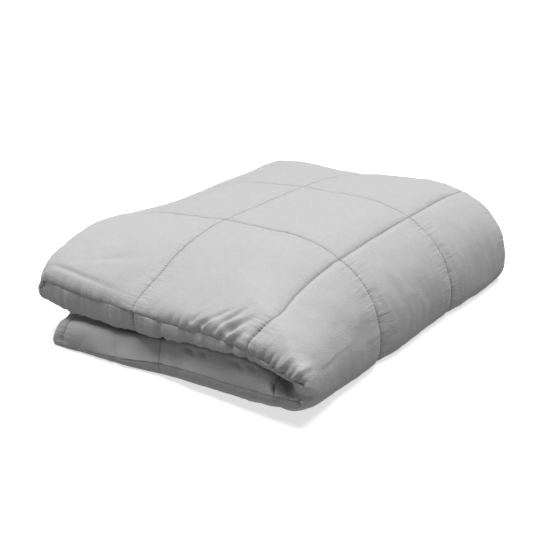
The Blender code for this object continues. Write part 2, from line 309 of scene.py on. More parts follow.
# Stitches that lie deep in the cloth: those of a column seam from a place on, and those of a cross
# seam up to a place.
BURIED = Sizes(column=2, along=2.74, row=1, across=1.1)
STITCH_SIDES = 5
STITCH_AHEAD = 0.001  # metres on both sides of a stitch's middle, between which its direction is taken
# The rings of one stitch: place along it in stitch lengths, lift and radius in thread widths.
STITCH = Sizes(
    along=(-0.40, -0.24, 0.24, 0.40),
    lift=(-0.6, 0.05, 0.05, -0.6),
    radius=(0.25, 0.5, 0.5, 0.25),
)
# The cotton's noises: scales in bumps for each metre, half widths and heights in metres, and how
# much each darkens or lightens the cloth.
WEAVE = Sizes(fine=1100.0, long=90.0, height=0.0002, tone=0.14, rough=0.05)
MOTTLE = Sizes(scale=60.0, height=0.0003, tone=0.06)
GRAIN = Sizes(scale=430.0, height=0.0004)
FINE_CREASES = Sizes(fine=210.0, long=22.0, cross=0.028, column=0.022, height=0.0013)
# The pits' tone darkens the cloth in the needle holes: painted shade, beside their real depth in the
# bump.
PITS = Sizes(width=0.0012, depth=0.0005, tone=0.08)  # where the needle went through
# A darker line along each seam, its half width in metres and how much it darkens: painted shade of the
# seam's groove.
SEAM_SHADE = Sizes(width=0.0010, tone=0.22)
ROUGH = 0.86  # roughness of the cotton
# The paper's glow is painted light, which pales the shadow that the cloth casts on the floor.
PAPER_GLOW = 0.6  # what the white backdrop gives off itself
HORIZON = 0.3  # half height of the band in which the light from above turns into that from below
FLOOR_SIZE = 200.0
FLOOR_DROP = 0.0005  # metres, so that the floor doesn't meet the cloth's underside
TOP_LIGHT = Sizes(source=(-0.03, 0.10, 1.0), spread=math.radians(50))


# ------------------------ the cloth's folded course


def through(at, table, row):
    """A smooth curve through a row of a short table, over the places in the table's first row.

    It is made of cubic pieces whose slopes average their neighbours.
    """
    knots = np.asarray(next(iter(table.values())))
    values = np.asarray(table[row])
    at = np.asarray(at, float)
    slopes = np.gradient(values, knots)
    left = np.clip(np.searchsorted(knots, at) - 1, 0, len(knots) - 2)
    span = knots[left + 1] - knots[left]
    t = np.clip((at - knots[left]) / span, 0.0, 1.0)
    rise = slopes[left] * span * t * (1 - t) ** 2 - slopes[left + 1] * span * t * t * (1 - t)
    return values[left] * (1 + 2 * t) * (1 - t) ** 2 + values[left + 1] * t * t * (3 - 2 * t) + rise


def arch(t, power):
    """Quarter of a superellipse: 1 up to t = 0, then down to 0 at t = 1."""
    return (1 - np.clip(t, 0.0, 1.0) ** power) ** (1 / power)


def fading(distance, reach, power=2):
    """1 at no distance, and falling off as exp(-(distance / reach) ^ power)."""
    return np.exp(-((distance / reach) ** power))


def ramp(at, start, width):
    """0 up to the start, then rising evenly to 1 over the width, or the other way with both negated."""
    return np.clip((at - start) / width, 0.0, 1.0)


def outer_depth(back):
    """y of the outer layer, a little slower near the front, where the cloth also climbs."""
    near = OUTER_DEPTH.first * (back - OUTER_DEPTH.climbing * back * (1 - back))
    return np.where(back < 1, near, OUTER_DEPTH.first + OUTER_DEPTH.further * (back - 1))


def inner_depth(back):
    """y of the inner layer, which first runs down behind the front seam."""
    drop = INNER_DEPTH.drop
    return INNER_DEPTH.square * back - drop * (1 - np.exp(-back / drop))


def climb(x, back):
    """Share of the full height that the top has reached, 0 at the front seam and 1 a square back.

    It is (1 - left_over ^ run) ^ rise, where left_over falls from 1 to 0 with depth. The left
    square is plumper at its front, and the others right of it are steeper.
    """
    plump = ramp(-x, 0.0, PLUMP_TO)
    steep = ramp(x, STEEP.start, STEEP.width)
    left_over = 1 - np.clip(outer_depth(back) / OUTER_DEPTH.first, 0.0, 1.0)
    run = CLIMB.run + CLIMB.plump_run * plump
    rise = CLIMB.rise + CLIMB.plump_rise * plump + CLIMB.steep_rise * steep
    return (1 - left_over**run) ** rise


def outer_tip(back):
    """x of the outermost layer's right-hand end, a smooth curve through its table."""
    return through(back, OUTER_LAYER, "tip")


def inner_tip(back):
    """x of the innermost layer's: x + front * exp(-back / reach)."""
    return INNER_TIP.x + INNER_TIP.front * np.exp(-back / INNER_TIP.reach)


def outer_height(x, back, below):
    """z of the outer layer's outer face: a plateau, the round right side and the flat bottom.

    Each half of the right side is a quarter of a superellipse, from its outermost line to the top
    or to the bottom.
    """
    turn = fading(back, TURN_REACH)
    tip = outer_tip(back)
    middle = SIDE_MIDDLE.height + SIDE_MIDDLE.front * turn
    if below:
        heel = through(x, HEEL, "back")
        lift = 1 - arch(1 - np.clip(back / heel, 0.0, 1.0), 2.0)
        ground = through(x, LOWER_FRONT, "z") * lift
        start = through(back, OUTER_LAYER, "foot")
        start = start + LOWER_TURN.corner * fading(back, LOWER_TURN.corner_reach)
        return middle - (middle - ground) * arch((x - start) / (tip - start), 2.0)
    seam = through(x, UPPER_FRONT, "z")
    share = climb(x, back)
    top = seam + (through(back, OUTER_LAYER, "top") - seam) * share
    beyond = np.clip((-LEFT_ROUND.start - x) / LEFT_ROUND.width, 0.0, LEFT_ROUND.most)
    fall = through(back, LEFT_FALL, "fall")
    top = top - share * (LEFT_SLOPE * np.clip(-x, 0.0, None) + fall * beyond**2)
    far = ramp(back, BACK_EDGE_FROM, FRONT - BACK_EDGE_FROM)
    far = far * far * (3 - 2 * far)
    top = top + far * through(x, BACK_EDGE, "rise")
    start = UPPER_TURN.start + UPPER_TURN.front * turn
    start = start + UPPER_TURN.corner * fading(back, UPPER_TURN.corner_reach)
    power = FOLD_LEAN + FOLD_LEAN_BACK * far
    return middle + (top - middle) * arch((x - start) / (tip - start), power)


def inner_height(x, back, below):
    """z of the inner layer's outer face: the upper pair's underside, a tight turn, the lower top.

    The gap between the pairs narrows from the mouth at the front edge as exp(-back / reach), down
    to the air between two layers, and quarters of an ellipse close it in the turn.
    """
    seam = through(x, UPPER_FRONT, "z")
    lip = through(x, UPPER_LIP, "z")
    down = 1 - np.exp(-back / UNDERSIDE.down)
    rise = 1 - fading(back, UNDERSIDE.level)
    under = seam - (seam - lip) * down + (INNER_TOP - lip) * rise
    mouth = seam - through(x, LOWER_FRONT, "z") - LAYER_GAP
    tip = inner_tip(back)
    room = TURN_ROOM.height * (1 - fading(back, TURN_ROOM.back))
    room = room * fading(tip - x, TURN_ROOM.across)
    dip = MOUTH_DIP.depth * fading(back - MOUTH_DIP.back, MOUTH_DIP.reach)
    mouth_reach = MOUTH_REACH + POCKET.reach * ramp(x, POCKET.start, POCKET.width)
    gap = LAYER_GAP + mouth * np.exp(-back / mouth_reach) + room + dip
    radius = np.clip(gap / 2, INNER_TURN.least, INNER_TURN.most)
    start = tip - radius * (1 - INNER_TURN.tighter * fading(back, INNER_TURN.reach))
    share = arch((x - start) / (tip - start), 2.0)
    return under - gap * (0.5 + 0.5 * share if below else 0.5 - 0.5 * share)


def seam_places(back, outer):
    """x of the hem and of seams 0, 1 and 2 on the upper run, and of 3, 4, 5 and the hem below.

    Each moves from its place on the front edge by drift * (1 - exp(-(back / reach) ^ 3)). Near the
    front seams 1 and 2 of the outer layer and the lower left end of the inner one also bend.
    """
    deep = 1 - fading(back, DRIFT_REACH, 3)
    drift = OUTER_DRIFT if outer else INNER_DRIFT
    upper = np.asarray(SEAMS_AT_FRONT["upper"]) + np.asarray(drift["upper"]) * deep[:, None]
    lower = np.asarray(SEAMS_AT_FRONT["lower"]) + np.asarray(drift["lower"]) * deep[:, None]
    if outer:
        brow = BROW_BEND.shift * fading(back - BROW_BEND.back, BROW_BEND.reach)
        second = SECOND_BEND.shift * (1 - fading(back, SECOND_BEND.start))
        upper[:, 2] += BROW_BEND.first * brow
        upper[:, 3] += second * fading(back, SECOND_BEND.reach) + brow
    else:
        bow = LOWER_BEND.shift * (1 - fading(back, LOWER_BEND.start)) * (1 - deep)
        lower[:, 2:] += bow[:, None]
    return upper, lower


def by_rows(at, knots, values):
    """Linear interpolation with a different table for each row."""
    return np.stack([np.interp(at, knots, row) for row in values])


def along_rows(share, curves):
    """Points at even shares of each row's own length."""
    steps = np.linalg.norm(np.diff(curves, axis=1), axis=2)
    reached = np.concatenate([np.zeros((len(curves), 1)), np.cumsum(steps, axis=1)], axis=1)
    rows = zip(reached / reached[:, -1:], curves)
    return np.stack([np.stack([np.interp(share, r, c[:, k]) for k in range(3)], 1) for r, c in rows])


def layer(across, back, outer):
    """Points of one layer's outer face, a row for each distance from the front edge."""
    column = back[:, None]
    height = outer_height if outer else inner_height
    depth = outer_depth(column) if outer else inner_depth(column)
    tips = outer_tip(back) if outer else inner_tip(back)
    fade = fading(column, FRONT_REACH)

    def run(x, below):
        front = LOWER_FRONT if below else UPPER_FRONT
        y = depth + fade * through(x, front, "y")
        moved = 0.0
        if below and not outer:
            moved = through(x, SET_BACK, "back") * fade
            moved = moved * (1 - np.exp(-column / SET_BACK_REACH))
        return np.stack([x - SET_BACK_LEFT * moved, y + moved, height(x, column, below)], axis=2)

    upper, lower = seam_places(back, outer)
    top = run(by_rows(across, (-BORDER, 0, 1, 2), upper), False)
    bottom = run(by_rows(across, (LOWER_RUN, 4, COLUMNS, COLUMNS + BORDER), lower), True)
    swing = np.sin(np.linspace(0.0, np.pi / 2, CURVE_STEPS))
    over = run(upper[:, 3:] + (tips[:, None] - upper[:, 3:]) * swing, False)
    under = run(lower[:, :1] + (tips[:, None] - lower[:, :1]) * swing, True)
    side = along_rows(np.clip(across - 2, 0, 1), np.concatenate([over, under[:, -2::-1]], axis=1))
    where = across[None, :, None]
    return np.where(where <= 2, top, np.where(where >= LOWER_RUN, bottom, side))


def settled(back, reach):
    """Distances from the front edge, starting slowly, so that the cloth isn't stretched there."""
    return back - reach * (1 - np.exp(-back / reach)) * fading(back, SETTLE_REACH)


def nose(turned):
    """Reach and half height, from 0 to 1, at even steps round a quarter of a superellipse."""
    angle = np.linspace(0.0, np.pi / 2, 2 * CURVE_STEPS)
    out = np.sin(angle) ** (2 / END_POWER)
    half = np.cos(angle).clip(0.0) ** (2 / END_POWER)
    length = np.concatenate([[0.0], np.cumsum(np.hypot(np.diff(out), np.diff(half)))])
    return np.interp(turned * length[-1], length, out), np.interp(turned * length[-1], length, half)


def rounded_off(across, along):
    """How each place of the cloth rounds off at the ends, where two layers close up to each other.

    At an end the cloth reaches out and closes by quarters of superellipses, but the top keeps most
    of its thickness right at the front edge. The strip under the front seam also wraps round to the
    back. Returns the places to read the layers at, how open they still are and their shift.
    """
    back = np.abs(along - FRONT)
    column = back[:, None]
    on_top = along[:, None] < FRONT
    in_fold = along[:, None] > FRONT
    upper = ramp(-across, -UPPER_END.across, UPPER_END.across + BORDER)
    lower = ramp(across, LOWER_END.across, COLUMNS + BORDER - LOWER_END.across)
    rear = ramp(column, BACK_END.back, FRONT + BORDER - BACK_END.back)
    side_out, side_open = (part[None, :] for part in nose(upper + lower))
    rear_out, rear_open = nose(rear)
    kept = TOP_KEPT.share * fading(column, TOP_KEPT.reach) * on_top * (across < LOWER_RUN)
    top_open = 1 - (1 - side_open) * (1 - kept)
    deep = 1 - fading(column, END_CHANGE.strip)
    quick = 1 - fading(column, END_CHANGE.top)
    notch = fading(column, END_CHANGE.notch)
    top_reach = UPPER_END.notch + (UPPER_END.reach_back - UPPER_END.notch) * quick
    strip_reach = UPPER_END.reach + (UPPER_END.reach_back - UPPER_END.reach) * deep
    strip_reach = strip_reach - (UPPER_END.reach - UPPER_END.notch) * notch
    upper_reach = np.where(in_fold, strip_reach, top_reach)
    lower_reach = LOWER_END.reach + (LOWER_END.reach_back - LOWER_END.reach) * deep
    lower_reach = lower_reach - (LOWER_END.reach - LOWER_END.notch) * notch
    out_x = -np.where(across < LOWER_RUN, upper_reach, lower_reach) * side_out
    wrapped = (1 - fading(column, WRAP.start)) * fading(column, WRAP.reach) * in_fold
    wrap = np.where(across < LOWER_RUN, UPPER_END.wrap, 0.0) * wrapped
    out_y = BACK_END.reach * rear_out + wrap * (1 - side_open)
    shift = np.stack([out_x, out_y, 0 * out_x], axis=2)
    read_across = np.clip(across, UPPER_END.across, LOWER_END.across)
    return read_across, np.minimum(back, BACK_END.back), top_open * rear_open, shift


def unit_normals(points):
    """Outward normals of a grid of points, from its two gradients."""
    normal = np.cross(np.gradient(points, axis=0), np.gradient(points, axis=1))
    return normal / np.linalg.norm(normal, axis=2, keepdims=True)


# ------------------------ relief: crowns, seams, creases


def lattice_noise(u, v, cell_u, cell_v, seed):
    """Smooth noise from -1 to 1: random values on a lattice, blended by smoothstep in both directions."""
    count = NOISE.table
    table = np.random.default_rng(seed).uniform(-1.0, 1.0, (count, count))
    a = u / cell_u + NOISE.across
    b = v / cell_v + NOISE.along
    i = np.floor(a).astype(int)
    j = np.floor(b).astype(int)
    s = a - i
    t = b - j
    s = s * s * s * (s * (6 * s - 15) + 10)
    t = t * t * t * (t * (6 * t - 15) + 10)
    near = table[i % count, j % count] * (1 - s) + table[(i + 1) % count, j % count] * s
    j = j + 1
    far = table[i % count, j % count] * (1 - s) + table[(i + 1) % count, j % count] * s
    return near * (1 - t) + far * t


def rich_noise(u, v, kind):
    """Noise of a kind listed in NOISES, with finer and weaker copies of itself added."""
    cell_u, cell_v, seed, octaves = NOISES[kind]
    total = 0.0
    for octave in range(octaves):
        size = NOISE.octave ** octave
        total = total + lattice_noise(u, v, cell_u * size, cell_v * size, seed + octave) * size
    return total


def to_seam(places, count):
    """Distance to the nearest seam, and the number of that seam; the borders have none outside."""
    nearest = np.clip(np.round(places), 0, count)
    return np.abs(places - nearest), nearest


def crown(places, count, power):
    """0 on each seam, 1 across most of the square between two seams."""
    inside = np.clip(places, 0.0, count)
    distance = np.abs(inside - np.round(inside))
    return 1 - np.abs(1 - 2 * distance) ** power


def puckers(place, other, nearest, reach, kind):
    """Short streaks that leave a seam at right angles.

    place runs along the seam and other is the signed distance from it. The noise is fine along the
    seam and long across it, its strength fades with distance, and its reach varies along the seam.
    """
    place = place + nearest * PUCKER.shift
    fine = rich_noise(place, other, kind)
    wander = PUCKER.least + PUCKER.wander * rich_noise(place, other * 0, "uneven " + kind)
    return fine * np.exp(-np.abs(other) / (reach * wander))


def soft_creases(across, along, table):
    """Troughs (negative) or ridges along short straight lines on the cloth.

    Each is height * exp(-(sideways / width) ^ 2), starts as a smooth step and tapers off towards its
    far end as (1 - share ^ 2) ^ 1.5.
    """
    total = np.zeros(np.broadcast_shapes(across.shape, along.shape))
    for u0, v0, u1, v1, width, height in zip(*table.values()):
        length = math.hypot(u1 - u0, v1 - v0)
        du = (u1 - u0) / length
        dv = (v1 - v0) / length
        run = (across - u0) * du + (along - v0) * dv
        side = -(across - u0) * dv + (along - v0) * du
        begun = np.clip(run / (CREASE_START * length) + 0.5, 0.0, 1.0)
        share = np.clip(run / length, 0.0, 1.0)
        inside = begun * begun * (3 - 2 * begun) * (1 - share * share) ** 1.5
        total = total + height * fading(side, width) * inside
    return total


def streaks(u, v):
    """Noise drawn out along the cloth down the right side, faint in patches."""
    side = fading(u - DRAPE.across, DRAPE.reach) * ramp(-v, -FRONT, DRAPE.front)
    sway = DRAPE.sway * rich_noise(u, v, "sway of streaks")
    fine = rich_noise(v + sway, u, "streaks")
    patches = rich_noise(u, v, "streaked patches")
    return side * fine * (DRAPE.strength + DRAPE.uneven * patches)


def strip_folds(u, v):
    """Noise drawn out across the strip under the front seam, weaker right of the side's middle."""
    strip = fading(v - FRONT - STRIP.along, STRIP.reach) * (v > FRONT)
    strip = strip * np.where(u < SIDE, 1.0, STRIP.right)
    sway = STRIP.sway * rich_noise(u, v, "sway of strip")
    return strip * rich_noise(u + sway, v, "strip")


def front_bulge(u, v, reach, gathered):
    """Fullness behind the front seam: strength * t * exp((1 - t ^ 2) / 2), where t is back / reach."""
    right = ramp(u, PUFF.right, PUFF.right_width)
    behind = np.abs(v - FRONT) / (reach * (PUFF.reach + PUFF.reach_right * right))
    above = PUFF.strength + PUFF.strength_right * right
    above = above * ramp(-u, -PUFF.end, PUFF.end_width)
    strength = np.where(v > FRONT, PUFF.under + PUFF.under_gathered * gathered, above)
    return strength * behind * np.exp((1 - behind**2) / 2)


def relief(across, along, sizes):
    """Height of the quilting over the smooth course of the cloth, in metres, for a grid of places.

    It is the sum of crowns between the seams, ripples, wrinkles, the seams' grooves, streaks, the
    bulge behind the front seam, puckers beside the seams and folds across the strip under it.
    """
    u = across[None, :]
    v = along[:, None]
    du, ku = to_seam(u, COLUMNS)
    dv, kv = to_seam(v, ROWS)
    body = crown(u, COLUMNS, sizes.crown_power) * crown(v, ROWS, sizes.crown_power)
    low_front = LOW_FRONT.less * fading(v - FRONT, LOW_FRONT.reach) * (u > SIDE)
    ripple = rich_noise(u, v, "ripples") * np.sqrt(body) * (1 - low_front)
    wrinkle = rich_noise(u, v, "wrinkles")
    wrinkle = wrinkle * np.abs(rich_noise(u, v, "wrinkled patches"))
    height = sizes.crown_height * body + sizes.ripple_height * ripple + sizes.wrinkle_height * wrinkle

    cross_width = sizes.groove_width * np.where(v > FRONT, FRONT_GROOVE.wider, 1.0)
    groove = np.maximum(fading(du, sizes.groove_width, SOFT), fading(dv, cross_width, SOFT))
    at_front = FRONT_GROOVE.shallower * fading(v - FRONT, FRONT_GROOVE.reach)
    faint = FAINT.less * ramp(-u, -FAINT.across, FAINT.width)
    faint = faint * fading(v - FAINT.row, FAINT.reach)
    height = height - sizes.groove_depth * groove * (1 - at_front) * (1 - faint)

    gathered = fading(u - SIDE, GATHERED)
    height = height + sizes.drape_height * streaks(u, v)
    height = height + sizes.front_puff * front_bulge(u, v, sizes.front_puff_reach, gathered)
    near_ridge = fading(v - FRONT, PUCKER.ridge_reach)
    strength = PUCKER.strength + near_ridge * (PUCKER.ridge + PUCKER.gathered * gathered)
    strength = sizes.pucker_height * strength * (1 - PUCKER.in_groove * groove)
    cross_reach = sizes.pucker_reach * (1 + PUCKER.longer * near_ridge)
    cross = puckers(u, v - kv, kv, cross_reach, "cross puckers")
    column = puckers(v, u - ku, ku, sizes.pucker_reach * PUCKER.column, "column puckers")
    height = height + strength * (cross + PUCKER.column * column)
    return height + sizes.strip_puckers * strip_folds(u, v)


# ------------------------ meshes


def lines_of(table, count, hidden):
    """Grid lines of a table of steps, with lines on each seam and close beside it.

    A few lines near a hidden place are dropped, so that the coarser lines of the lining fit evenly.
    """
    starts = table["from"]
    runs = [np.arange(a, b, step) for a, b, step in zip(starts, starts[1:], table["step"])]
    seams = np.arange(count + 1)
    beside = (seams[:, None] + np.asarray(SEAM_LINES)).ravel()
    free = np.concatenate(runs + [[starts[-1]]])
    clear = np.abs(free[:, None] - seams).min(axis=1) > SEAM_CLEAR
    lines = np.unique(np.concatenate([free[clear], seams, beside]).round(5))
    extra = (len(lines) - 1) % LINING_EVERY
    nearest = np.argsort(np.abs(lines - hidden))
    return np.delete(lines, nearest[: DROP_EVERY * extra : DROP_EVERY])


def cloth_points(across, along, sizes):
    """The cloth's outer face with its relief, and its face inside the fold, as two grids in squares.

    Each layer's point is centre + (face - centre) * share + shift. The centre lies between it and
    the layer that it is folded against, and the share falls towards the ends, where it leaves the
    thickness of a hem. The relief stands out from that by the normals, weaker near the ground, deep
    in the fold, at the hems and in the tight turn, and the face inside the fold leans with the hems.
    """
    back = np.abs(along - FRONT)
    outside = (along <= FRONT)[:, None, None]
    read_across, read_back, open_share, shift = rounded_off(across, along)
    outer = layer(read_across, settled(read_back, OUTER_SETTLE), True)
    inner = layer(read_across, settled(read_back, INNER_SETTLE), False)
    start = np.zeros(1)
    joined = layer(read_across, start, True) - layer(read_across, start, False)
    inner = inner + joined * fading(read_back, JOIN_REACH)[:, None, None]
    apart = (outer - inner) / 2
    thick = np.linalg.norm(apart, axis=2, keepdims=True) + 1e-9
    opened = (1 - np.exp(-back / HEM_FROM))[:, None, None]
    hem = np.minimum(HEM_THICK / thick, 1.0) * opened
    lean = np.where(across < LOWER_RUN, UPPER_END.lean, LOWER_END.lean)[None, :]
    near = LEAN_FAR.share + (1 - LEAN_FAR.share) * fading(back, LEAN_FAR.reach)
    lean = lean * near[:, None]
    centre = (outer + inner) / 2 - lean[..., None] * apart
    face = np.where(outside, outer, inner)
    smooth = centre + (face - centre) * (open_share[..., None] * (1 - hem) + hem) + shift
    off_ground = ramp(smooth[:, :, 2], 0.0, RELIEF_FROM)
    in_turn = RELIEF_IN_TURN.less * fading(across - SIDE, RELIEF_IN_TURN.reach, 4)
    in_view = fading(back, RELIEF_IN_FOLD)[:, None] * (1 - in_turn)
    at_corner = fading(back, RELIEF_AT_TIP.reach)[:, None] * (across < RELIEF_AT_TIP.across)
    rise = relief(across, along, sizes) * np.where(outside[..., 0], off_ground, in_view)
    rise = rise * (1 - at_corner) * (RELIEF_AT_HEM + (1 - RELIEF_AT_HEM) * open_share)
    rise = (rise + soft_creases(across[None, :], along[:, None], CREASES)) / PITCH
    shell = smooth + unit_normals(smooth) * rise[:, :, None]

    inset = np.hypot(read_back, LINING_INSET)
    outer = layer(read_across, inset, True)
    inner = layer(read_across, inset, False)
    spread = (outer - inner) / np.linalg.norm(outer - inner, axis=2, keepdims=True)
    half = LAYER_GAP / 2 * opened * np.where(outside, 1, -1)
    leaned = lean[..., None] * (1 - open_share[..., None]) * (outer - inner) / 2
    lining = (outer + inner) / 2 - leaned + spread * half + shift
    return shell, lining


def placed(points):
    """Squares to metres in the row's frame, with nothing below the ground."""
    moved = (points - (ORIGIN[0], ORIGIN[1], 0.0)) * PITCH
    moved[..., 2] = np.maximum(moved[..., 2], 0.0)
    return moved


def rim_of(grid):
    """The grid's values round its edge, in order."""
    return np.concatenate([grid[0, :-1], grid[:-1, -1], grid[-1, :0:-1], grid[:0:-1, 0]])


def lining_polygons(rim, inner):
    """Quads of the coarse face inside the fold, and polygons that join it to the fine hem.

    rim holds the hem's vertex numbers on the fine grid's edge, and inner those of the coarse grid.
    Each side in turn is brought to the top by a quarter turn of both.
    """
    every = LINING_EVERY
    middle = inner[1:-1, 1:-1]
    quads = np.stack([middle[:-1, :-1], middle[:-1, 1:], middle[1:, 1:], middle[1:, :-1]], axis=2)
    polygons = quads.reshape(-1, 4).tolist()
    for turn in range(4):
        fine = np.rot90(rim, turn)
        coarse = np.rot90(inner, turn)
        start = np.arange(1, coarse.shape[1] - 2)
        side = fine[0][start[:, None] * every + np.arange(every + 1)]
        strip = np.concatenate([side, coarse[1, start + 1, None], coarse[1, start, None]], axis=1)
        corner = np.concatenate([fine[0, : every + 1], coarse[1, 1:2], fine[every:0:-1, 0]])
        polygons += strip.tolist() + [corner.tolist()]
    return polygons


def cloth_mesh(name, sizes):
    """One closed mesh: a fine outer face, a half-round hem and a coarse face inside the fold."""
    across = lines_of(ACROSS_LINES, COLUMNS, HIDDEN.across)
    along = lines_of(ALONG_LINES, ROWS, HIDDEN.along)
    shell, lining = (placed(face) for face in cloth_points(across, along, sizes))
    rows, columns = shell.shape[:2]
    place = np.stack(np.broadcast_arrays(across[None, :], along[:, None]), axis=2)
    index = np.arange(rows * columns).reshape(rows, columns)
    cells = np.stack([index[1:, :-1], index[1:, 1:], index[:-1, 1:], index[:-1, :-1]], axis=2)
    polygons = cells.reshape(-1, 4).tolist()
    points = [shell.reshape(-1, 3)]
    places = [place.reshape(-1, 2)]

    outer = rim_of(shell)
    inner = rim_of(lining)
    inside = np.concatenate([shell[1, :-1], shell[:-1, -2], shell[-2, :0:-1], shell[:0:-1, 1]])
    outward = outer - inside
    outward /= np.linalg.norm(outward, axis=1, keepdims=True)
    half = np.linalg.norm(outer - inner, axis=1, keepdims=True) / 2
    ring = rim_of(index)
    count = rows * columns
    for turn in np.linspace(0.0, np.pi, HEM_STEPS + 1)[1:]:
        round_off = (outer - inner) / 2 * np.cos(turn) + outward * half * np.sin(turn)
        points.append((outer + inner) / 2 + round_off)
        places.append(rim_of(place))
        after = count + np.arange(len(ring))
        strip = np.stack([ring, np.roll(ring, -1), np.roll(after, -1), after], axis=1)
        polygons += strip.tolist()
        ring = after
        count += len(ring)

    rim = np.zeros((rows, columns), int)
    rim[0, :-1], rim[:-1, -1], rim[-1, :0:-1], rim[:0:-1, 0] = np.split(
        ring, np.cumsum([columns - 1, rows - 1, columns - 1])
    )
    coarse = lining[::LINING_EVERY, ::LINING_EVERY]
    numbers = count + np.arange(coarse.shape[0] * coarse.shape[1]).reshape(coarse.shape[:2])
    used = numbers[1:-1, 1:-1]
    numbers[1:-1, 1:-1] = count + np.arange(used.size).reshape(used.shape)
    points.append(coarse[1:-1, 1:-1].reshape(-1, 3))
    places.append(place[::LINING_EVERY, ::LINING_EVERY][1:-1, 1:-1].reshape(-1, 2))
    polygons += lining_polygons(rim, numbers)
    return new_mesh(name, np.concatenate(points), polygons, np.concatenate(places) * PITCH)


def new_mesh(name, points, polygons, places):
    """A smooth mesh whose UV map holds each point's place on the flat cloth, in metres."""
    mesh = bpy.data.meshes.new(name)
    mesh.from_pydata(points.tolist(), [], polygons)
    corners = np.empty(len(mesh.loops), np.int32)
    mesh.loops.foreach_get("vertex_index", corners)
    flat = mesh.uv_layers.new(name="cloth")
    flat.data.foreach_set("uv", places[corners].astype(np.float32).ravel())
    mesh.validate()
    mesh.shade_smooth()
    return mesh


def new_object(name, mesh, material):
    """Links an object at the origin that shows the mesh in this material, and returns it."""
    mesh.materials.append(material)
    made = bpy.data.objects.new(name, mesh)
    bpy.context.scene.collection.objects.link(made)
    return made


def face_of(mesh):
    """The outer face's points, read back as a grid, with its lines across and along."""
    across = lines_of(ACROSS_LINES, COLUMNS, HIDDEN.across)
    along = lines_of(ALONG_LINES, ROWS, HIDDEN.along)
    points = np.empty(len(mesh.vertices) * 3, np.float32)
    mesh.vertices.foreach_get("co", points)
    size = len(along) * len(across)
    return points.reshape(-1, 3)[:size].reshape(len(along), len(across), 3).astype(float), across, along


def seam_lines(points, across, along):
    """Each stitched line in view, as its points on the cloth and the outward normals there."""
    normals = unit_normals(points)
    inside = (across >= -TINY) & (across <= COLUMNS + TINY)
    rows = np.searchsorted(along, np.arange(int(FRONT) + 1))
    columns = np.searchsorted(across, np.arange(COLUMNS + 1))
    outside = (along >= -TINY) & (along <= FRONT + TINY)
    cross = []
    for number, row in enumerate(rows):
        seen = inside & (across > BURIED.across) if number == BURIED.row else inside
        cross.append((points[row][seen], normals[row][seen]))
    down = []
    for number, column in enumerate(columns):
        seen = outside & (along < BURIED.along) if number == BURIED.column else outside
        down.append((points[seen, column], normals[seen, column]))
    return cross + down


def stitches_along(points, normals, sizes):
    """Tubes of one row of stitches: each starts and ends in the cloth and bows out between.

    Ring k of a stitch lies at c + t * s_k + n * h_k, where c is the middle of the stitch, t runs
    along the seam and n outwards, and its radius is r_k.
    """
    steps = np.linalg.norm(np.diff(points, axis=0), axis=1)
    reached = np.concatenate([[0.0], np.cumsum(steps)])
    count = int(reached[-1] / sizes.stitch_pitch)
    middle = (np.arange(count) + 0.5) * reached[-1] / count

    def at(distance, values):
        return np.stack([np.interp(distance, reached, values[:, k]) for k in range(3)], axis=-1)

    along = np.asarray(STITCH.along) * sizes.stitch_pitch
    lift = np.asarray(STITCH.lift) * sizes.thread_width
    radius = np.asarray(STITCH.radius) * sizes.thread_width
    turn = np.arange(STITCH_SIDES) * 2 * np.pi / STITCH_SIDES
    out = at(middle, normals)[:, None, :]
    ahead = at(middle + STITCH_AHEAD, points) - at(middle - STITCH_AHEAD, points)
    ahead = (ahead / np.linalg.norm(ahead, axis=1, keepdims=True))[:, None, :]
    side = np.cross(ahead, out)
    centre = at(middle[:, None] + along, points) + out * lift[:, None]
    round_off = np.cos(turn)[:, None] * side[:, None] + np.sin(turn)[:, None] * out[:, None]
    rings = centre[:, :, None, :] + round_off * radius[:, None, None]
    return rings.reshape(-1, 3), count


def stitch_mesh(name, lines, sizes):
    """All stitches as one mesh of short closed tubes."""
    made = [stitches_along(points, normals, sizes) for points, normals in lines]
    points = np.concatenate([each[0] for each in made])
    count = sum(each[1] for each in made)
    ring_count = len(STITCH.along)
    number = np.arange(ring_count * STITCH_SIDES).reshape(ring_count, STITCH_SIDES)
    after = np.roll(number, -1, axis=1)
    wall = np.stack([number[:-1], number[1:], after[1:], after[:-1]], axis=2).reshape(-1, 4)
    first = np.arange(count)[:, None, None] * ring_count * STITCH_SIDES
    walls = (first + wall).reshape(-1, 4)
    ends = (first + np.stack([number[0], number[-1, ::-1]])).reshape(-1, STITCH_SIDES)
    polygons = walls.tolist() + ends.tolist()
    return new_mesh(name, points, polygons, points[:, :2])


# ------------------------ materials


class Value:
    """A socket of a shader's node, so that sums and products of sockets read as formulas."""

    def __init__(self, shader, socket):
        self.shader = shader
        self.socket = socket

    def math(self, operation, *others):
        return self.shader.node("ShaderNodeMath", {"operation": operation}, (self, *others))

    def __add__(self, other):
        return self.math("ADD", other)

    def __sub__(self, other):
        return self.math("SUBTRACT", other)

    def __rsub__(self, other):
        return self.shader.node("ShaderNodeMath", {"operation": "SUBTRACT"}, (other, self))

    def __mul__(self, other):
        return self.math("MULTIPLY", other)

    def __truediv__(self, other):
        return self.math("DIVIDE", other)

    def __pow__(self, other):
        return self.math("POWER", other)

    __radd__ = __add__
    __rmul__ = __mul__


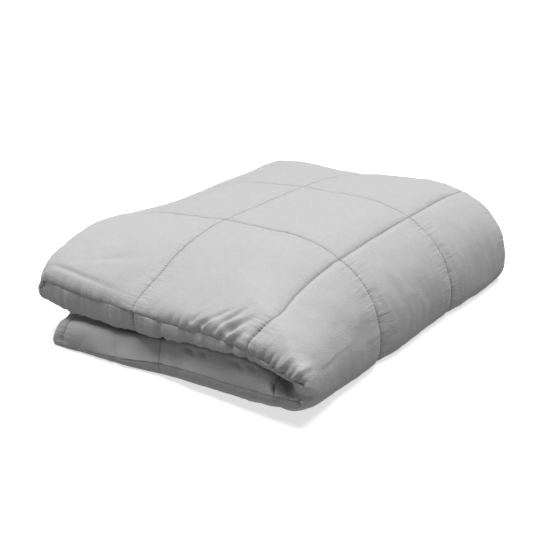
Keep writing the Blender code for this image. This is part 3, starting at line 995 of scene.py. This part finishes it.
class Shader:
    """A material whose nodes are made by one method."""

    def __init__(self, name):
        self.material = bpy.data.materials.new(name)
        self.material.use_nodes = True
        self.tree = self.material.node_tree
        self.principled = self.tree.nodes["Principled BSDF"]

    def node(self, kind, settings=None, inputs=(), output=0):
        """Adds a node, sets its settings first and then its inputs, given in order or by name."""
        made = self.tree.nodes.new(kind)
        for key, value in (settings or {}).items():
            setattr(made, key, value)
        named = inputs.items() if isinstance(inputs, dict) else enumerate(inputs)
        for key, value in named:
            self.feed(made.inputs[key], value)
        return Value(self, made.outputs[output])

    def feed(self, socket, value):
        if isinstance(value, Value):
            self.tree.links.new(value.socket, socket)
        else:
            socket.default_value = value

    def finish(self, **inputs):
        """Sets the surface's own sockets: spaces in their names are written as underscores."""
        for key, value in inputs.items():
            self.feed(self.principled.inputs[key.replace("_", " ")], value)
        return self.material


def cotton(name, colours):
    """Light grey plain-weave cotton, matt: slubs both ways, fine creases by the seams, needle pits."""
    shader = Shader(name)
    flat = shader.node("ShaderNodeUVMap", {"uv_map": "cloth"})
    u = shader.node("ShaderNodeSeparateXYZ", None, (flat,), 0)
    v = shader.node("ShaderNodeSeparateXYZ", None, (flat,), 1)
    to_column = u.math("PINGPONG", PITCH / 2)
    to_cross = v.math("PINGPONG", PITCH / 2)

    def noise(across, along, detail):
        vector = shader.node("ShaderNodeCombineXYZ", None, (u * across, v * along, 0.0))
        inputs = {"Vector": vector, "Scale": 1.0, "Detail": detail}
        return shader.node("ShaderNodeTexNoise", {"noise_dimensions": "2D"}, inputs)

    def near(distance, width):
        return (distance / width * (distance / width) * -1.0).math("EXPONENT")

    weave = noise(WEAVE.fine, WEAVE.long, 2.0) + noise(WEAVE.long, WEAVE.fine, 2.0)
    mottle = noise(MOTTLE.scale, MOTTLE.scale, 4.0)
    fine, long = FINE_CREASES.fine, FINE_CREASES.long
    creases = near(to_cross, FINE_CREASES.cross) * noise(fine, long, 3.0)
    creases = creases + near(to_column, FINE_CREASES.column) * noise(long, fine, 3.0)
    beat = 2 * math.pi / STITCH_PITCH
    pits = near(to_cross, PITS.width) * ((u * beat).math("COSINE") + 1.0)
    pits = pits + near(to_column, PITS.width) * ((v * beat).math("COSINE") + 1.0)
    grain = noise(GRAIN.scale, GRAIN.scale, 2.0)
    height = weave * WEAVE.height + grain * GRAIN.height + creases * FINE_CREASES.height
    height = height + mottle * MOTTLE.height - pits * PITS.depth
    bump = shader.node("ShaderNodeBump", None, {"Strength": 1.0, "Distance": 1.0, "Height": height})
    line = near(to_cross, SEAM_SHADE.width) + near(to_column, SEAM_SHADE.width)
    tone = 1.0 + (weave - 1.0) * WEAVE.tone + (mottle - 0.5) * MOTTLE.tone
    # Painted shade: the cloth is made darker along each seam line and in the needle pits.
    tone = tone - pits * PITS.tone - line * SEAM_SHADE.tone
    tint = shader.node("ShaderNodeCombineXYZ", None, (tone, tone, tone))
    settings = {"operation": "MULTIPLY"}
    colour = shader.node("ShaderNodeVectorMath", settings, (tuple(colours.cloth)[:3], tint))
    rough = ROUGH + weave * WEAVE.rough
    return shader.finish(
        Base_Color=colour,
        Roughness=rough,
        Normal=bump,
        Specular_IOR_Level=0.25,
        Sheen_Weight=0.15,
        Sheen_Roughness=0.5,
    )


def thread(name, colours):
    """Matt cotton thread, a shade darker than the cloth."""
    shader = Shader(name)
    place = shader.node("ShaderNodeTexCoord", None, (), "Object")
    grain = shader.node("ShaderNodeTexNoise", None, {"Vector": place, "Scale": 900.0, "Detail": 1.0})
    bump = shader.node("ShaderNodeBump", None, {"Distance": 0.0001, "Height": grain})
    return shader.finish(Base_Color=tuple(colours.thread), Roughness=0.8, Normal=bump)


def paper(name, colours):
    """Smooth white backdrop paper that glows: painted light that pales the shadows cast on it."""
    shader = Shader(name)
    return shader.finish(
        Base_Color=tuple(colours.floor),
        Roughness=0.9,
        Specular_IOR_Level=0.1,
        # Painted light: this glow pales the cloth's shadow on the paper.
        Emission_Color=(1.0, 1.0, 1.0, 1.0),
        Emission_Strength=PAPER_GLOW,
    )


def room(name, studio):
    """Even light from above and a weaker one from below, which stands for what the floor gives back."""
    world = bpy.data.worlds.new(name)
    world.use_nodes = True
    tree = world.node_tree
    place = tree.nodes.new("ShaderNodeTexCoord")
    height = tree.nodes.new("ShaderNodeSeparateXYZ")
    blend = tree.nodes.new("ShaderNodeMapRange")
    blend.inputs["From Min"].default_value = -HORIZON
    blend.inputs["From Max"].default_value = HORIZON
    blend.inputs["To Min"].default_value = studio.floor_light
    blend.inputs["To Max"].default_value = studio.room_light
    tree.links.new(place.outputs["Generated"], height.inputs[0])
    tree.links.new(height.outputs["Z"], blend.inputs["Value"])
    tree.links.new(blend.outputs["Result"], tree.nodes["Background"].inputs["Strength"])
    tree.nodes["Background"].inputs["Color"].default_value = (1.0, 1.0, 1.0, 1.0)
    return world


# ------------------------ the add-on


class BlanketSizes(bpy.types.PropertyGroup):
    """Sizes of the quilting's relief and of its stitches."""

    crown_height: bpy.props.FloatProperty(
        name="Crown height", description="Rise of the middle of a square over its seams",
        default=0.0034, unit="LENGTH", precision=4,
    )
    crown_power: bpy.props.FloatProperty(
        name="Crown fullness", description="How flat the top of a square's crown is", default=3.4
    )
    ripple_height: bpy.props.FloatProperty(
        name="Ripple height", description="Soft unevenness of the filling inside a square",
        default=0.0020, unit="LENGTH", precision=4,
    )
    drape_height: bpy.props.FloatProperty(
        name="Drape", description="Height of the soft streaks that run down the folded side",
        default=0.0014, unit="LENGTH", precision=4,
    )
    wrinkle_height: bpy.props.FloatProperty(
        name="Wrinkle height", description="Height of the fine wrinkles all over the cloth",
        default=0.0006, unit="LENGTH", precision=4,
    )
    strip_puckers: bpy.props.FloatProperty(
        name="Strip puckers", description="Height of the folds across the strip under the front seam",
        default=0.0021, unit="LENGTH", precision=4,
    )
    front_puff: bpy.props.FloatProperty(
        name="Front puff", description="Bulge of the cloth on both sides of the front seams",
        default=0.0014, unit="LENGTH", precision=4,
    )
    front_puff_reach: bpy.props.FloatProperty(
        name="Front puff reach", description="Distance of the bulge from the front seam, in squares",
        default=0.075,
    )
    groove_width: bpy.props.FloatProperty(
        name="Groove width", description="Half width of a seam's groove, in squares", default=0.018
    )
    groove_depth: bpy.props.FloatProperty(
        name="Groove depth", description="Depth of a seam's groove",
        default=0.0018, unit="LENGTH", precision=4,
    )
    pucker_height: bpy.props.FloatProperty(
        name="Pucker height", description="Height of the small folds that leave a seam",
        default=0.0016, unit="LENGTH", precision=4,
    )
    pucker_reach: bpy.props.FloatProperty(
        name="Pucker reach", description="How far the small folds reach from a seam, in squares",
        default=0.085,
    )
    stitch_pitch: bpy.props.FloatProperty(
        name="Stitch length", description="Distance from one stitch to the next",
        default=STITCH_PITCH, unit="LENGTH", precision=4,
    )
    thread_width: bpy.props.FloatProperty(
        name="Thread width", description="Thickness of the sewing thread",
        default=0.0007, unit="LENGTH", precision=4,
    )


class BlanketColours(bpy.types.PropertyGroup):
    """Colours of the cloth, the thread and the floor."""

    cloth: bpy.props.FloatVectorProperty(
        name="Cloth", description="Colour of the cotton cover",
        default=(0.47, 0.47, 0.475, 1.0), size=4, subtype="COLOR", min=0.0, max=1.0,
    )
    thread: bpy.props.FloatVectorProperty(
        name="Thread", description="Colour of the stitches",
        default=(0.44, 0.44, 0.445, 1.0), size=4, subtype="COLOR", min=0.0, max=1.0,
    )
    floor: bpy.props.FloatVectorProperty(
        name="Floor", description="Colour of the floor",
        default=(0.75, 0.75, 0.75, 1.0), size=4, subtype="COLOR", min=0.0, max=1.0,
    )


class BlanketStudio(bpy.types.PropertyGroup):
    """The camera and the lights."""

    camera_place: bpy.props.FloatVectorProperty(
        name="Camera", description="Where the camera stands",
        default=(0.6764, -0.9757, 0.5022), size=3, subtype="TRANSLATION",
    )
    camera_fall: bpy.props.FloatProperty(
        name="Look down", description="How far the camera looks below the horizon",
        default=math.radians(20.786), subtype="ANGLE",
    )
    camera_turn: bpy.props.FloatProperty(
        name="Look left", description="How far the camera is turned to the left of straight ahead",
        default=math.radians(35.806), subtype="ANGLE",
    )
    camera_lens: bpy.props.FloatProperty(
        name="Lens", description="Focal length in millimetres on a 36 mm wide sensor", default=55.16
    )
    top_light: bpy.props.FloatProperty(
        name="Top light", description="Strength of the large soft light overhead", default=3.85
    )
    room_light: bpy.props.FloatProperty(
        name="Room light", description="Strength of the even light from above", default=0.20
    )
    floor_light: bpy.props.FloatProperty(
        name="Floor light", description="Strength of the light from below", default=0.32
    )


class BLANKET_OT_cloth(bpy.types.Operator):
    """Build the folded quilted cloth in place of the plain solid"""

    bl_idname = "blanket.cloth"
    bl_label = "Quilted cloth"

    def execute(self, context):
        scene = context.scene
        mesh = cloth_mesh("quilted_cloth", scene.blanket_sizes)
        cloth = new_object("quilted_cloth", mesh, cotton("grey_cotton", scene.blanket_colours))
        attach(cloth, "root")
        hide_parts("weighted_blanket")
        return {"FINISHED"}


class BLANKET_OT_stitches(bpy.types.Operator):
    """Lay the rows of stitches in the seams of the quilted cloth"""

    bl_idname = "blanket.stitches"
    bl_label = "Stitches"

    def execute(self, context):
        scene = context.scene
        cloth = bpy.data.objects.get("quilted_cloth")
        if cloth is None:
            raise RuntimeError("the quilted cloth comes before its stitches")
        lines = seam_lines(*face_of(cloth.data))
        mesh = stitch_mesh("seam_stitches", lines, scene.blanket_sizes)
        stitches = new_object("seam_stitches", mesh, thread("grey_thread", scene.blanket_colours))
        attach(stitches, "root")
        return {"FINISHED"}


class BLANKET_OT_stage(bpy.types.Operator):
    """Set up the floor, the lights and the camera"""

    bl_idname = "blanket.stage"
    bl_label = "Stage"

    def execute(self, context):
        scene = context.scene
        studio = scene.blanket_studio
        scene.view_settings.view_transform = "Standard"
        half = FLOOR_SIZE / 2
        corners = [(-half, -half, 0.0), (half, -half, 0.0), (half, half, 0.0), (-half, half, 0.0)]
        mesh = bpy.data.meshes.new("floor")
        mesh.from_pydata(corners, [], [(0, 1, 2, 3)])
        floor = new_object("floor", mesh, paper("white_paper", scene.blanket_colours))
        floor.location.z = -FLOOR_DROP
        floor.visible_diffuse = False
        scene.world = room("room", studio)

        lamp = bpy.data.lights.new("top_light", "SUN")
        lamp.angle = TOP_LIGHT.spread
        lamp.energy = studio.top_light
        light = bpy.data.objects.new("top_light", lamp)
        light.rotation_euler = Vector(TOP_LIGHT.source).to_track_quat("Z", "Y").to_euler()
        scene.collection.objects.link(light)

        eye = bpy.data.cameras.new("camera")
        eye.lens = studio.camera_lens
        eye.sensor_width = 36.0
        eye.dof.use_dof = False
        camera = bpy.data.objects.new("camera", eye)
        camera.location = studio.camera_place
        camera.rotation_euler = (math.pi / 2 - studio.camera_fall, 0.0, studio.camera_turn)
        scene.collection.objects.link(camera)
        scene.camera = camera
        return {"FINISHED"}


class BLANKET_PT_panel(bpy.types.Panel):
    """Sizes, colours and steps of the blanket"""

    bl_label = "Blanket"
    bl_space_type = "VIEW_3D"
    bl_region_type = "UI"
    bl_category = "Blanket"

    def draw(self, context):
        scene = context.scene
        for group in (scene.blanket_sizes, scene.blanket_colours, scene.blanket_studio):
            for key in group.__annotations__:
                self.layout.prop(group, key)
        for step in STEPS:
            self.layout.operator(step.bl_idname)


STEPS = (BLANKET_OT_cloth, BLANKET_OT_stitches, BLANKET_OT_stage)
GROUPS = (BlanketSizes, BlanketColours, BlanketStudio)


def register():
    for made in (*GROUPS, *STEPS, BLANKET_PT_panel):
        bpy.utils.register_class(made)
    bpy.types.Scene.blanket_sizes = bpy.props.PointerProperty(type=BlanketSizes)
    bpy.types.Scene.blanket_colours = bpy.props.PointerProperty(type=BlanketColours)
    bpy.types.Scene.blanket_studio = bpy.props.PointerProperty(type=BlanketStudio)


def unregister():
    del bpy.types.Scene.blanket_studio
    del bpy.types.Scene.blanket_colours
    del bpy.types.Scene.blanket_sizes
    for made in reversed((*GROUPS, *STEPS, BLANKET_PT_panel)):
        bpy.utils.unregister_class(made)


def main():
    register()
    bpy.ops.blanket.cloth()
    bpy.ops.blanket.stitches()
    bpy.ops.blanket.stage()


if __name__ == "__main__":
    main()
